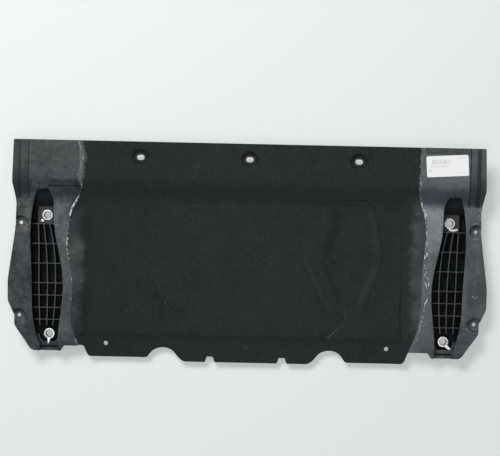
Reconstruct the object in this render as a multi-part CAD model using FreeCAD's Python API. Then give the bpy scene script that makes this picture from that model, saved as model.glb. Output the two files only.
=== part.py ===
"""Engine guard: a pressed-felt panel between two moulded plastic wings, with four steel bushes.

The guard lies on its back with the road side up. X runs across the car, Y towards
the edge with the three slots, Z up. The origin is under the middle of the guard, on the
plane that the pocket floors and the bushes rest on.
"""
import FreeCAD, Part
import math
import os

V = FreeCAD.Vector

# Skin: the felt's upper face, which is also the back face of the wings
top_edge_y = 247.0
bottom_edge_y = -247.0
strip_z = 39.5
flange_z = 25.5
tray_depth = 11.0
lip_drop = 3.0
step_head_y = 154.0
step_foot_y = 119.0
lip_head_y = -186.0
lip_foot_y = -196.0
bend_radius = 24.0
tray_half_width = 352.0
tray_bank = 36.0

# Felt panel
felt_thickness = 5.0
felt_tuck_x = 409.0
felt_tuck_wide_x = 425.0
felt_tuck_head_y = 20.0
felt_tuck_foot_y = -40.0
felt_foot_y = -213.5
corner_tab_y = -236.0
corner_radius = 12.0
tab_outer_x = 356.0
tab_flare = 11.0
tab_flare_radius = 10.0
arch_x = 185.0
arch_half_width = 42.0
arch_top_y = -215.5
arch_top_half = 25.0
arch_radius = 22.0
arch_foot_radius = 14.0
notch_x = 81.5
notch_foot_width = 22.0
notch_head_width = 13.5
notch_depth = 12.4
slot_y = 211.6
slot_pitch = 245.0
slot_length = 18.7
slot_width = 13.0
dish_radius = 20.0
dish_floor_radius = 15.0
dish_depth = 3.0
lower_hole_x = 317.7
lower_hole_y = -209.0
lower_hole_radius = 5.0
emboss_depth = 5.0

# Wings
wing_wall = 2.5
seat_x = 512.5
seat_upper_y = 60.0
seat_lower_y = -148.2
seat_radius = 16.0
seat_floor_radius = 11.0
seat_depth = 6.0
seat_hole_radius = 4.2
panel_line_x = 495.0
panel_line_depth = 0.6
groove_x = 511.0
groove_width = 8.0
groove_depth = 1.5
groove_foot_y = 115.0
ledge_x = 384.0
ledge_length = 69.0
ledge_y = 145.0
ledge_width = 3.5
ledge_height = 1.5

# Ribbed pocket in each wing
pocket_head_y = 137.0
pocket_foot_y = -207.5
ramp_foot_y = 96.5
pad_foot_y = 58.0
pad_outer_x = 477.0
pad_z = 12.0
channel_drop = 8.0
channel_inner_x = 424.0
channel_outer_x = 464.0
drain_y = -216.0
drain_width = 4.5
drain_depth = 4.0
well_radius = 21.0
rib_top_z = 18.5
cross_rib_thickness = 2.2
long_rib_thickness = 2.8
grid_foot_y = -171.5
cross_rib_ys = [pad_foot_y, 13.5, -30.8, -75.0, -102.6, -130.3, -157.3]

# Steel bushes
bush_upper_x = 455.2
bush_upper_y = 78.1
bush_lower_x = 445.5
bush_lower_y = -189.5
bush_flange_radius = 12.5
bush_flange_thickness = 1.8
bush_radius = 9.8
bush_bore_radius = 8.0
boss_wall = 2.4

# Room that the cutting bodies take beyond the guard
beyond = 40.0
clearance = 0.01
half_span = seat_x + 2 * beyond
under_z = -beyond
over_z = strip_z + beyond

# Outlines in the half with positive X: (x, y, corner radius)
wing_inner_x = 340.0
wing_foot_y = -227.0
wing_foot_chamfer = 4.0
wing_inner_foot_y = -215.0
wing_outline = [
    (wing_inner_x, top_edge_y, 0.0), (seat_x + 16.9, top_edge_y, 3.0), (seat_x + 19.2, 151.0, 25.0),
    (seat_x + 10.5, 105.0, 40.0), (seat_x + 12.5, 43.0, 90.0), (seat_x + 26.9, -69.0, 60.0),
    (seat_x + 26.0, -115.0, 25.0), (seat_x + 11.5, -146.3, 12.0), (seat_x + 9.5, -170.6, 12.0),
    (486.0, wing_foot_y + wing_foot_chamfer, 8.0), (478.0, wing_foot_y, 4.0), (417.0, wing_foot_y, 4.0),
    (410.0, wing_inner_foot_y, 5.0), (wing_inner_x, wing_inner_foot_y, 0.0)]
emboss_rim = [
    (183.0, 125.5), (270.0, 126.5), (283.0, 112.0), (304.3, 6.3), (299.4, -30.0), (258.6, -130.4),
    (229.0, -131.0), (209.5, -106.6), (168.0, -14.7), (168.5, 12.0), (187.0, 60.0), (186.5, 109.0)]
emboss_floor = [
    (205.0, 121.5), (262.0, 122.5), (266.0, 110.0), (285.0, 4.0), (279.0, -21.0), (249.0, -106.0),
    (233.0, -107.0), (219.0, -101.0), (178.0, -10.0), (186.0, 12.0), (208.0, 60.0), (207.0, 109.0)]

# Curves in the half with positive X, from the top edge downwards
pocket_outer = [
    (475.0, pocket_head_y), (481.5, 121.0), (487.0, 93.6), (490.5, 39.0), (485.0, -75.0), (480.0, -158.0),
    (466.0, pocket_foot_y)]
pocket_inner = [
    (452.0, pocket_head_y), (443.5, 124.0), (439.0, 100.0), (437.5, 59.5), (424.0, -11.7), (415.0, -74.0),
    (415.5, -105.0), (421.0, -161.0), (425.0, pocket_foot_y)]
long_ribs = [
    [(474.8, 58.5), (472.3, 13.7), (470.5, -75.0), (466.9, -158.0), (466.0, -173.5)],
    [(462.6, 58.5), (455.2, 0.0), (451.1, -75.0), (450.5, -130.6), (451.0, -173.5)],
    [(449.6, 58.5), (436.0, -13.7), (433.0, -75.0), (434.3, -130.6), (437.5, -173.5)]]
left_seam = [
    (379.0, 263.0), (378.0, 246.0), (370.0, 220.0), (371.0, 185.0), (378.0, 135.5), (400.0, 81.0),
    (404.6, 42.0), (406.5, 16.6), (397.0, -48.0), (393.0, -84.0), (395.6, -120.0), (394.0, -170.0),
    (380.0, -214.5), (378.0, -263.0)]
right_seam = [
    (386.0, 263.0), (386.0, 246.0), (384.5, 203.0), (383.0, 146.0), (396.7, 91.0), (400.5, 60.5),
    (395.0, -12.7), (392.5, -58.5), (391.5, -106.0), (379.0, -181.0), (371.0, -201.0),
    (371.0, -263.0)]


def flat(point):
    """A plan point (x, y) as a place at height zero."""
    return V(point[0], point[1], 0)


def upright(point):
    """A section point (y, z) as a place in the plane at X zero."""
    return V(0, point[0], point[1])


def rounded_face(corners, place):
    """Face inside the corners (a, b, radius), with an arc at each corner that has a radius."""
    bends = []
    for index, (a, b, radius) in enumerate(corners):
        here = V(a, b, 0)
        back = V(*corners[index - 1][:2], 0) - here
        ahead = V(*corners[(index + 1) % len(corners)][:2], 0) - here
        half_angle = back.getAngle(ahead) / 2
        if radius == 0.0 or half_angle > math.pi / 2 - 1e-4:
            bends.append((here, None, here))
            continue
        back.normalize()
        ahead.normalize()
        middle = (back + ahead).normalize()
        run = radius / math.tan(half_angle)
        crown = here + middle * (radius / math.sin(half_angle) - radius)
        bends.append((here + back * run, crown, here + ahead * run))
    edges = []
    for index, (first, crown, last) in enumerate(bends):
        if crown is not None:
            edges.append(Part.Arc(place(first), place(crown), place(last)).toShape())
        following = bends[(index + 1) % len(bends)][0]
        if last.distanceToPoint(following) > 1e-6:
            edges.append(Part.makeLine(place(last), place(following)))
    return Part.Face(Part.Wire(Part.__sortEdges__(edges)))


def curve(points):
    """Smooth curve through plan points."""
    spline = Part.BSplineCurve()
    spline.interpolate([flat(point) for point in points])
    return spline.toShape()


def between(first, second):
    """Face between two plan curves that run the same way, closed by straight ends."""
    edges = [curve(first), Part.makeLine(flat(first[-1]), flat(second[-1])),
             curve(second), Part.makeLine(flat(second[0]), flat(first[0]))]
    return Part.Face(Part.Wire(Part.__sortEdges__(edges)))


def tall(face, low=under_z, high=over_z):
    """Plan face drawn up into a solid from one height to another."""
    raised = face.copy()
    raised.translate(V(0, 0, low))
    return raised.extrude(V(0, 0, high - low))


def block(x_range, y_range, z_range=(under_z, over_z)):
    """Box over three ranges."""
    low = V(x_range[0], y_range[0], z_range[0])
    return Part.makeBox(x_range[1] - x_range[0], y_range[1] - y_range[0], z_range[1] - z_range[0], low)


def post(x, y, radius, low, high):
    """Upright round post."""
    return Part.makeCylinder(radius, high - low, V(x, y, low))


def mirrored(shape):
    """The same shape on the other side of the guard's middle plane."""
    return shape.mirror(V(0, 0, 0), V(1, 0, 0))


def slab(field_z, rise):
    """Solid under a skin that steps down from the top strip to field_z and again to the lower lip."""
    low = under_z - beyond
    corners = [
        (top_edge_y + beyond, low, 0.0), (top_edge_y + beyond, strip_z + rise, 0.0),
        (step_head_y, strip_z + rise, bend_radius), (step_foot_y, field_z + rise, bend_radius),
        (lip_head_y, field_z + rise, 0.0), (lip_foot_y, field_z - lip_drop + rise, 0.0),
        (bottom_edge_y - beyond, field_z - lip_drop + rise, 0.0), (bottom_edge_y - beyond, low, 0.0)]
    section = rounded_face(corners, upright)
    section.translate(V(-half_span, 0, 0))
    return section.extrude(V(2 * half_span, 0, 0))


def form(rise):
    """Solid under the whole skin, with the sunken centre tray, lifted by rise."""
    tray_z = flange_z - tray_depth
    slope = tray_bank / tray_depth
    wide = tray_half_width + slope * (over_z + beyond - tray_z)
    foot_drop = 2 * lip_drop
    narrow = tray_half_width - slope * foot_drop
    low = tray_z - foot_drop + rise
    high = over_z + beyond + rise
    ends = [(-wide, high), (wide, high), (narrow, low), (-narrow, low)]
    wire = Part.makePolygon([V(x, bottom_edge_y - beyond, z) for x, z in ends + ends[:1]])
    reach = V(0, top_edge_y - bottom_edge_y + 2 * beyond, 0)
    tray = Part.Face(wire).extrude(reach)
    return slab(flange_z, rise).cut(tray.cut(slab(tray_z, rise)))


def emboss():
    """Long hollow with sloping banks that is pressed into the felt and bites into the foot of the step."""
    rim_z = flange_z - tray_depth
    over = [(2 * rim_x - floor_x, 2 * rim_y - floor_y)
            for (rim_x, rim_y), (floor_x, floor_y) in zip(emboss_rim, emboss_floor)]
    wires = []
    for corners, z in ((emboss_floor, rim_z - emboss_depth), (over, rim_z + emboss_depth)):
        wires.append(Part.makePolygon([V(x, y, z) for x, y in corners + corners[:1]]))
    return Part.makeLoft(wires, True, True)


def slot_places():
    """Middles of the three slots along the top edge."""
    return [(column * slot_pitch, slot_y) for column in (-1, 0, 1)]


def slot(x, y):
    """Oblong cutter with its long side across the guard."""
    radius = slot_width / 2
    half = slot_length / 2
    corners = [(x - half, y - radius, radius), (x + half, y - radius, radius),
               (x + half, y + radius, radius), (x - half, y + radius, radius)]
    return tall(rounded_face(corners, flat))


def felt_outline():
    """Plan of the felt: its sides run under the wings, its lower edge has arches and notches."""
    half_notch_foot = notch_foot_width / 2
    half_notch_head = notch_head_width / 2
    arch_outer = arch_x + arch_half_width
    arch_inner = arch_x - arch_half_width
    notch_head_y = bottom_edge_y + notch_depth
    half = [
        (felt_tuck_wide_x, top_edge_y, 0.0), (felt_tuck_wide_x, felt_tuck_head_y, 0.0),
        (felt_tuck_x, felt_tuck_foot_y, 0.0), (felt_tuck_x, felt_foot_y, 0.0),
        (tab_outer_x + tab_flare, felt_foot_y, tab_flare_radius),
        (tab_outer_x, corner_tab_y, corner_radius), (arch_outer, corner_tab_y, corner_radius),
        (arch_x + arch_top_half, arch_top_y, arch_radius), (arch_x - arch_top_half, arch_top_y, arch_radius),
        (arch_inner, bottom_edge_y, arch_foot_radius),
        (notch_x + half_notch_foot, bottom_edge_y, 0.0), (notch_x + half_notch_head, notch_head_y, 0.0),
        (notch_x - half_notch_head, notch_head_y, 0.0), (notch_x - half_notch_foot, bottom_edge_y, 0.0)]
    other = [(-x, y, radius) for x, y, radius in reversed(half)]
    return rounded_face(half + other, flat)


def felt_panel():
    """Pressed felt sheet of even upright thickness, thinner in the dishes round its slots."""
    upper = form(0.0).cut(emboss())
    lower = upper.copy()
    lower.translate(V(0, 0, -felt_thickness))
    sheet = upper.cut(lower).common(tall(felt_outline()))
    cutters = []
    for x, y in slot_places():
        dish_foot = V(x, y, strip_z - dish_depth)
        cutters.append(Part.makeCone(dish_floor_radius, dish_radius, dish_depth, dish_foot))
        cutters.append(slot(x, y))
    for x in (-lower_hole_x, lower_hole_x):
        cutters.append(post(x, lower_hole_y, lower_hole_radius, under_z, over_z))
    return sheet.cut(cutters)


def lens(grow):
    """Plan of the pocket between its two curved sides, widened by grow all round."""
    outer = [(x + grow, y) for x, y in pocket_outer]
    inner = [(x - grow, y) for x, y in pocket_inner]
    outer[0] = (outer[0][0], pocket_head_y + grow)
    inner[0] = (inner[0][0], pocket_head_y + grow)
    outer[-1] = (outer[-1][0], pocket_foot_y - grow)
    inner[-1] = (inner[-1][0], pocket_foot_y - grow)
    return tall(between(outer, inner))


def deep_zone(grow):
    """Deepest part of the pocket: the ribbed grid, the trough beside the pad and the lower bush's well."""
    reach = (wing_wall - grow, over_z)
    grid = block((0, half_span), (bush_lower_y - grow, pad_foot_y + grow), reach)
    well = post(bush_lower_x, bush_lower_y, well_radius + grow, *reach)
    trough = block((pad_outer_x - grow, half_span), (pad_foot_y - grow, ramp_foot_y + grow), reach)
    return lens(grow).common(grid.fuse([trough, well]))


def seat(y, grow):
    """Flared hollow round a screw hole at the edge of a wing, larger by grow all round."""
    rise = seat_depth + wing_wall
    flare = (seat_radius - seat_floor_radius) / seat_depth
    foot = V(seat_x, y, flange_z + wing_wall - seat_depth - grow)
    foot_radius = seat_floor_radius + grow
    return Part.makeCone(foot_radius, foot_radius + flare * rise, rise, foot)


def cavity(grow):
    """Everything sunk into a wing; grow makes the same hollow larger by a wall all round."""
    pad = block((0, half_span), (pad_foot_y - grow, ramp_foot_y + grow), (pad_z - grow, over_z))
    slope = [V(0, ramp_foot_y - grow, pad_z - grow), V(0, pocket_head_y, flange_z + wing_wall - grow),
             V(0, pocket_head_y + beyond, over_z), V(0, ramp_foot_y - grow, over_z)]
    ramp = Part.Face(Part.makePolygon(slope + slope[:1])).extrude(V(half_span, 0, 0))
    channel_z = flange_z - lip_drop + wing_wall - channel_drop
    channel_reach = (channel_z - grow, over_z)
    channel_sides = (channel_inner_x - grow, channel_outer_x + grow)
    channel = block(channel_sides, (bottom_edge_y - beyond, pocket_foot_y + wing_wall + grow), channel_reach)
    shelf = block((0, half_span), (pocket_foot_y - grow, bush_lower_y + grow), channel_reach)
    drain_sides = (drain_y - drain_width - grow, drain_y + grow)
    drain = block(channel_sides, drain_sides, (channel_z - drain_depth - grow, over_z))
    hollow = lens(grow).common(pad.fuse([ramp, shelf])).fuse([deep_zone(grow), channel, drain])
    return hollow.fuse([seat(y, grow) for y in (seat_upper_y, seat_lower_y)])


def ribs():
    """Crossing ribs that stiffen the pocket."""
    bars = []
    for y in cross_rib_ys:
        half = cross_rib_thickness / 2
        bars.append(block((0, half_span), (y - half, y + half), (0, rib_top_z)))
    for points in long_ribs:
        half = long_rib_thickness / 2
        outer = [(x + half, y) for x, y in points]
        inner = [(x - half, y) for x, y in points]
        bars.append(tall(between(outer, inner), 0, rib_top_z))
    room = lens(wing_wall / 2).common(block((0, half_span), (grid_foot_y, pad_foot_y + wing_wall)))
    return [bar.common(room) for bar in bars]


def bush_places():
    """Middles of the two bush seats of a wing."""
    return [(bush_upper_x, bush_upper_y), (bush_lower_x, bush_lower_y)]


def surface_layer(low, high, x_range, y_range):
    """Layer that follows the wing's outer face between two heights above the skin."""
    return form(high).cut(form(low)).common(block(x_range, y_range))


def wing(seam, with_ledge):
    """One-piece moulded wing on the side with positive X."""
    outside = form(wing_wall).cut(cavity(0.0))
    inside = form(0.0).cut(cavity(wing_wall))
    seam_side = between(seam, [(half_span, y) for y in (seam[0][1], seam[-1][1])])
    plan = tall(rounded_face(wing_outline, flat)).common(tall(seam_side))
    shell = outside.cut(inside).common(plan)
    line_x = (panel_line_x, half_span)
    groove = (groove_x, groove_x + groove_width)
    top_zone = (groove_foot_y, top_edge_y + beyond)
    shell = shell.cut(surface_layer(wing_wall - panel_line_depth, 2 * wing_wall, line_x, top_zone))
    shell = shell.cut(surface_layer(wing_wall - groove_depth, 2 * wing_wall, groove, top_zone))
    added = ribs()
    for x, y in bush_places():
        added.append(post(x, y, bush_radius + boss_wall, 0, pad_z))
    if with_ledge:
        added.append(surface_layer(wing_wall / 2, wing_wall + ledge_height,
                                   (ledge_x, ledge_x + ledge_length), (ledge_y, ledge_y + ledge_width)))
    shell = shell.fuse(added)
    holes = [post(x, y, bush_radius, under_z, over_z) for x, y in bush_places()]
    holes += [post(seat_x, y, seat_hole_radius, under_z, over_z) for y in (seat_upper_y, seat_lower_y)]
    return shell.cut(holes).removeSplitter()


def bush(x, y):
    """Flanged steel bush that keeps the bolt from crushing the plastic."""
    sleeve = post(x, y, bush_radius, 0, pad_z)
    flange = post(x, y, bush_flange_radius, pad_z, pad_z + bush_flange_thickness)
    bore = post(x, y, bush_bore_radius, under_z, over_z)
    return sleeve.fuse(flange).cut(bore).removeSplitter()


def pieces():
    """Every piece by its name; the two bushes of a wing are one group of separate solids."""
    bushes = Part.makeCompound([bush(x, y) for x, y in bush_places()])
    return {
        "felt_panel": felt_panel(),
        "left_wing": mirrored(wing(left_seam, True)),
        "right_wing": wing(right_seam, False),
        "left_bushes": mirrored(bushes),
        "right_bushes": bushes}


os.makedirs("parts", exist_ok=True)
for name, shape in pieces().items():
    shape.exportStep("parts/" + name + ".step")
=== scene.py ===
# %% [markdown]
# # An engine guard, dressed
# The guard is the tray under a car's engine: a pressed-felt panel between two moulded plastic wings,
# with flanged steel bushes where the big bolts go through. The construction comes from the CAD frame
# at its real size, in metres, lying on its back with the road side up. Blender adds the finishes, the
# soft edges, the ragged joint between plastic and felt, the paper label and the paint marks.

# %% Load the frame
import math

import bpy
from mathutils import Matrix, Vector, noise
from mathutils.bvhtree import BVHTree


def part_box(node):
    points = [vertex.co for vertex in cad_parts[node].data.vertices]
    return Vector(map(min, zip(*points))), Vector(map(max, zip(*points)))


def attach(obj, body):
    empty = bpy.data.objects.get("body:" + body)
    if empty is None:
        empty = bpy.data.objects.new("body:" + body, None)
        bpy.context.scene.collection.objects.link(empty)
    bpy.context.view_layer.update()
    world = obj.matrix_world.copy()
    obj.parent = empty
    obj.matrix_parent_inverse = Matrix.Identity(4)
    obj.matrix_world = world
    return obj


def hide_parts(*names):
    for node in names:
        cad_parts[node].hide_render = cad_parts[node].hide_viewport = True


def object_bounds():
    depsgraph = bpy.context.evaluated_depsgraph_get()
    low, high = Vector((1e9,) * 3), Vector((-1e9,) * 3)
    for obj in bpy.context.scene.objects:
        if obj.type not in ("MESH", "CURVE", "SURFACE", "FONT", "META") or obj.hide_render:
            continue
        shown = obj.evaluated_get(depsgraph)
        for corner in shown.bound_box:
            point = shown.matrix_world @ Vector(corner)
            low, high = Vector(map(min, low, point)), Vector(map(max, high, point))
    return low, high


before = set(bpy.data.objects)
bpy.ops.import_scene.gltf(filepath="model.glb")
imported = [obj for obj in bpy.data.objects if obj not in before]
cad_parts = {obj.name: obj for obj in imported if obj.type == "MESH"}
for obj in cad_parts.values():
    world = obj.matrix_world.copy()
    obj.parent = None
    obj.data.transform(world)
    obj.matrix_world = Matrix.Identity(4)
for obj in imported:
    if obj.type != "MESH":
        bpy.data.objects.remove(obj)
cad_low, cad_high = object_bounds()
MM = 0.001
SIGN = {"left": -1, "right": 1}
print("CAD box", [round(v, 4) for v in cad_low], [round(v, 4) for v in cad_high])

# %% [markdown]
# ## Camera
# The photograph looks straight at the road side, a little rolled. The guard lies here, so the camera
# looks straight down from well above. The lens follows from the height and from how many millimetres
# one pixel of the photograph covers at the level of the wings' flat flanges.

# %% Camera
PHOTO_WIDTH = 500
PIXEL = 2.25 * MM
FLANGE_LEVEL = 28 * MM
CAMERA_HEIGHT = 2.6
CAMERA_ROLL = math.radians(1.25)
PICTURE_MIDDLE = (3.4 * MM, 58.6 * MM)

lens_data = bpy.data.cameras.new("camera")
lens_data.lens = lens_data.sensor_width * (CAMERA_HEIGHT - FLANGE_LEVEL) / (PHOTO_WIDTH * PIXEL)
camera = bpy.data.objects.new("camera", lens_data)
camera.location = (*PICTURE_MIDDLE, CAMERA_HEIGHT)
camera.rotation_euler = (0, 0, CAMERA_ROLL)
bpy.context.scene.collection.objects.link(camera)
bpy.context.scene.camera = camera
bpy.context.scene.view_settings.view_transform = "Standard"
print("lens", round(lens_data.lens, 1), "mm")

# %% [markdown]
# ## Shader sums
# A material is a small circuit. Wrapping a socket in a class with operators lets the circuit be written
# as ordinary sums: each operator adds one Math node. Any other node comes from the one method `node`.
# Noise reads the object's coordinates in metres, so its scale is the real one. The places of lines and
# patches are given in millimetres, which is what `axis` returns.

# %% Sockets that can be added and multiplied
SIDE_FADE = 100


class Signal:
    """A socket of a material that takes part in sums."""

    def __init__(self, finish, socket):
        self.finish = finish
        self.socket = socket

    def sum_with(self, operation, first, second=0.0):
        return self.finish.node("ShaderNodeMath", {"operation": operation}, {0: first, 1: second})

    def __add__(self, other):
        return self.sum_with("ADD", self, other)

    def __sub__(self, other):
        return self.sum_with("SUBTRACT", self, other)

    def __rsub__(self, other):
        return self.sum_with("SUBTRACT", other, self)

    def __mul__(self, other):
        return self.sum_with("MULTIPLY", self, other)

    def __truediv__(self, other):
        return self.sum_with("DIVIDE", self, other)

    def __abs__(self):
        return self.sum_with("ABSOLUTE", self)

    def above(self, other):
        return self.sum_with("GREATER_THAN", self, other)

    def below(self, other):
        return self.sum_with("LESS_THAN", self, other)

    def lesser(self, other):
        return self.sum_with("MINIMUM", self, other)

    def root(self):
        return self.sum_with("SQRT", self)

    __radd__ = __add__
    __rmul__ = __mul__


class Finish:
    """A material under construction."""

    def __init__(self, name):
        self.material = bpy.data.materials.new(name)
        self.material.use_nodes = True
        self.tree = self.material.node_tree
        self.tree.nodes.clear()

    def node(self, kind, settings=None, inputs=None, output=0):
        made = self.tree.nodes.new(kind)
        for name, value in (settings or {}).items():
            setattr(made, name, value)
        for key, value in (inputs or {}).items():
            if isinstance(value, Signal):
                self.tree.links.new(value.socket, made.inputs[key])
            else:
                made.inputs[key].default_value = value
        return Signal(self, made.outputs[output])

    def place(self):
        return self.node("ShaderNodeTexCoord", output="Object")

    def axis(self, name):
        """One coordinate of the object, in millimetres."""
        return self.node("ShaderNodeSeparateXYZ", {}, {0: self.place()}, name) * (1 / MM)

    def right_side(self, x):
        """One on the right wing, nothing on the left one."""
        return self.ramp(x, -SIDE_FADE, SIDE_FADE)

    def stretched(self, scale, turn=0.0):
        settings = {"Vector": self.place(), "Scale": scale, "Rotation": (0.0, 0.0, turn)}
        return self.node("ShaderNodeMapping", {}, settings)

    def noise(self, scale, detail=2.0, roughness=0.5, where=None):
        inputs = {"Vector": where or self.place(), "Scale": scale, "Detail": detail, "Roughness": roughness}
        return self.node("ShaderNodeTexNoise", {}, inputs)

    def ramp(self, value, low, high, start=0.0, end=1.0):
        inputs = {"Value": value, "From Min": low, "From Max": high, "To Min": start, "To Max": end}
        return self.node("ShaderNodeMapRange", {"interpolation_type": "SMOOTHSTEP"}, inputs)

    def band(self, value, low, high, soft):
        """One between low and high, fading to nothing over soft at both ends."""
        return self.ramp(value, low - soft, low + soft) * (1 - self.ramp(value, high - soft, high + soft))

    def blend(self, share, first, second):
        inputs = {"Factor": share, 6: first, 7: second}
        return self.node("ShaderNodeMix", {"data_type": "RGBA"}, inputs, 2)

    def bump(self, height, depth, strength=1.0):
        inputs = {"Height": height, "Distance": depth, "Strength": strength}
        return self.node("ShaderNodeBump", {}, inputs)

    def finish(self, **sockets):
        inputs = {name.replace("_", " "): value for name, value in sockets.items()}
        shader = self.node("ShaderNodeBsdfPrincipled", {}, inputs)
        self.surface(shader)
        return self.material

    def surface(self, shader):
        output = self.tree.nodes.new("ShaderNodeOutputMaterial")
        self.tree.links.new(shader.socket, output.inputs["Surface"])


print("shader sums ready")

# %% Spots, lines and arcs on the plan
LINE_CORE = 0.1
ARC_CORE, ARC_FADE = 0.4, 0.6


def grey(level, tint=(1.0, 1.0, 1.0)):
    return (level * tint[0], level * tint[1], level * tint[2], 1.0)


def square_from(x, y, middle):
    """Square of the distance from a plan point."""
    right, up = x - middle[0], y - middle[1]
    return right * right + up * up


def soft_line(x, y, first_x, first_y, last_x, last_y, half_width):
    """One along a straight line between two plan points, fading to both sides and at its ends."""
    finish = x.finish
    start = Vector((first_x, first_y))
    run = Vector((last_x, last_y)) - start
    way = run.normalized()
    along = (x - start.x) * way.x + (y - start.y) * way.y
    aside = (y - start.y) * way.x - (x - start.x) * way.y
    across = 1 - finish.ramp(abs(aside), LINE_CORE * half_width, half_width)
    return finish.band(along, 0.0, run.length, half_width) * across


def soft_lines(x, y, lines):
    """Sum of soft lines, each with its share as the last value."""
    return sum(soft_line(x, y, *line) * share for *line, share in lines)


def soft_arc(x, y, middle, radius, angle, half_span, half_width):
    """One along an arc round a plan point, fading to both sides and at its ends; angles in degrees."""
    finish = x.finish
    right, up = x - middle[0], y - middle[1]
    away = (right * right + up * up).root()
    towards = right * math.cos(math.radians(angle)) + up * math.sin(math.radians(angle))
    end = math.cos(math.radians(half_span))
    fade = (1 - end) / 2
    core = ARC_CORE * half_width
    ring = finish.band(away, radius - core, radius + core, ARC_FADE * half_width)
    return ring * finish.ramp(towards / away, end - fade, end + fade)


print("spots, lines and arcs ready")

# %% [markdown]
# ## Floor and light
# The guard lies on a plain pale floor. The floor's own colour stays pale to the camera, also where it is
# seen through a hole, and it still takes the guard's shadow. A broad lamp beyond the slotted edge gives
# the shade on the step across the panel; a second one near the camera opens up the hollows.

# %% Floor
FLOOR_SIZE = 14.0
FLOOR_GAP = 0.2 * MM
FLOOR_COLOUR = (0.80, 0.83, 0.82, 1.0)
FLOOR_GLOW = 0.42


def deselect():
    bpy.ops.object.select_all(action="DESELECT")


def floor_finish():
    finish = Finish("pale_floor")
    rays = finish.tree.nodes.new("ShaderNodeLightPath")
    kinds = ("Is Camera Ray", "Is Glossy Ray", "Is Transmission Ray")
    seen = sum(Signal(finish, rays.outputs[kind]) for kind in kinds)
    matt = finish.node("ShaderNodeBsdfDiffuse", {}, {"Color": FLOOR_COLOUR})
    glow = finish.node("ShaderNodeEmission", {}, {"Color": FLOOR_COLOUR})
    finish.surface(finish.node("ShaderNodeMixShader", {}, {0: seen * FLOOR_GLOW, 1: matt, 2: glow}))
    return finish.material


deselect()
bpy.ops.mesh.primitive_plane_add(size=FLOOR_SIZE, location=(0, 0, cad_low.z - FLOOR_GAP))
floor = bpy.context.object
floor.name = "floor"
floor.data.materials.append(floor_finish())
print("floor", FLOOR_SIZE, "m wide")

# %% Lamps and world
LAMPS = {
    "key_lamp": ((-1.9, 3.1, 2.8), (2.6, 1.5), 222),
    "fill_lamp": ((0.1, -0.9, 3.0), (2.6, 1.6), 20)}
WORLD_COLOUR = (0.95, 0.98, 1.0, 1.0)
WORLD_LIGHT = 0.22
WORLD_SEEN = 0.75


def lamp(name, place, size, power):
    data = bpy.data.lights.new(name, "AREA")
    data.shape = "RECTANGLE"
    data.size, data.size_y = size
    data.energy = power
    made = bpy.data.objects.new(name, data)
    made.location = place
    made.rotation_euler = (-Vector(place)).to_track_quat("-Z", "Y").to_euler()
    bpy.context.scene.collection.objects.link(made)


for name, lamp_facts in LAMPS.items():
    lamp(name, *lamp_facts)
world = bpy.data.worlds.new("studio")
world.use_nodes = True
background = world.node_tree.nodes["Background"]
background.inputs["Color"].default_value = WORLD_COLOUR
rays = world.node_tree.nodes.new("ShaderNodeLightPath")
level = world.node_tree.nodes.new("ShaderNodeMapRange")
level.inputs["To Min"].default_value = WORLD_LIGHT
level.inputs["To Max"].default_value = WORLD_SEEN
world.node_tree.links.new(rays.outputs["Is Camera Ray"], level.inputs["Value"])
world.node_tree.links.new(level.outputs["Result"], background.inputs["Strength"])
bpy.context.scene.world = world

# %% [markdown]
# ## Plastic
# The wings are black plastic that road dirt has rubbed to a blotchy grey. In the ribbed pockets the black
# plastic is unworn and painted shade darkens it with depth, with painted light on the level tops of ribs,
# pads and shelves. Painted shade lies in the grooves, the drains and at the ledge on the left wing, painted
# shade and painted highlights in arcs round the screw seats, painted light over the right wing and a painted
# cold sheen on its step. Each of these is a share between nothing and one that blends one more colour over
# the rest.

# %% Colours and places of the plastic
COOL = (0.79, 1.0, 1.17)
PLASTIC_DARK = grey(0.030, COOL)
PLASTIC_PALE = grey(0.25, (0.91, 1.0, 1.05))
# Painted shade in the pockets, darker with depth, and painted light on the level tops of ribs, pads and
# shelves.
PLASTIC_DEEP = grey(0.0035, COOL)
PLASTIC_RAMP = grey(0.015, COOL)
PLASTIC_RIB = grey(0.072, (0.87, 1.0, 1.08))
PLASTIC_PAD = grey(0.048, (0.9, 1.0, 1.03))
PLASTIC_SHELF = grey(0.042, COOL)
# Painted shade for grooves, drains, the ledge and the seats.
SHADE_GREY = grey(0.012, COOL)
# Pale chips and spots, and painted highlights on the rims of the seats.
CHALK_AND_HIGHLIGHT = grey(0.42)
ROAD_SOIL = grey(0.075, (1.05, 1.0, 0.84))
DRY_SOIL = grey(0.14, (1.03, 1.0, 0.86))
# Painted cold sheen of the sky.
COLD_SHEEN = grey(0.056, (0.72, 1.0, 1.32))
# Middles of the screw seats, and of a chip on the right flange.
SEATS = {
    "left_upper": (-512.5, 60.0), "left_lower": (-512.5, -148.2),
    "right_upper": (512.5, 60.0), "right_lower": (512.5, -148.2), "right_chip": (512.5, -84.0)}
# Each arc: its seat, radius, direction, half span, half width and share.
# Arcs of painted shade on the screw seats.
SEAT_SHADE = [
    ("left_upper", 15.5, 58, 72, 3.0, 0.75), ("left_upper", 16.5, -105, 28, 2.2, 0.8),
    ("left_lower", 17.0, 144, 16, 3.2, 0.8), ("left_lower", 16.0, -105, 32, 3.0, 0.95),
    ("right_upper", 13.8, 120, 64, 2.4, 0.7),
    ("right_lower", 16.5, 33, 20, 4.0, 0.85), ("right_lower", 15.3, 250, 52, 2.2, 0.9)]
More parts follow.
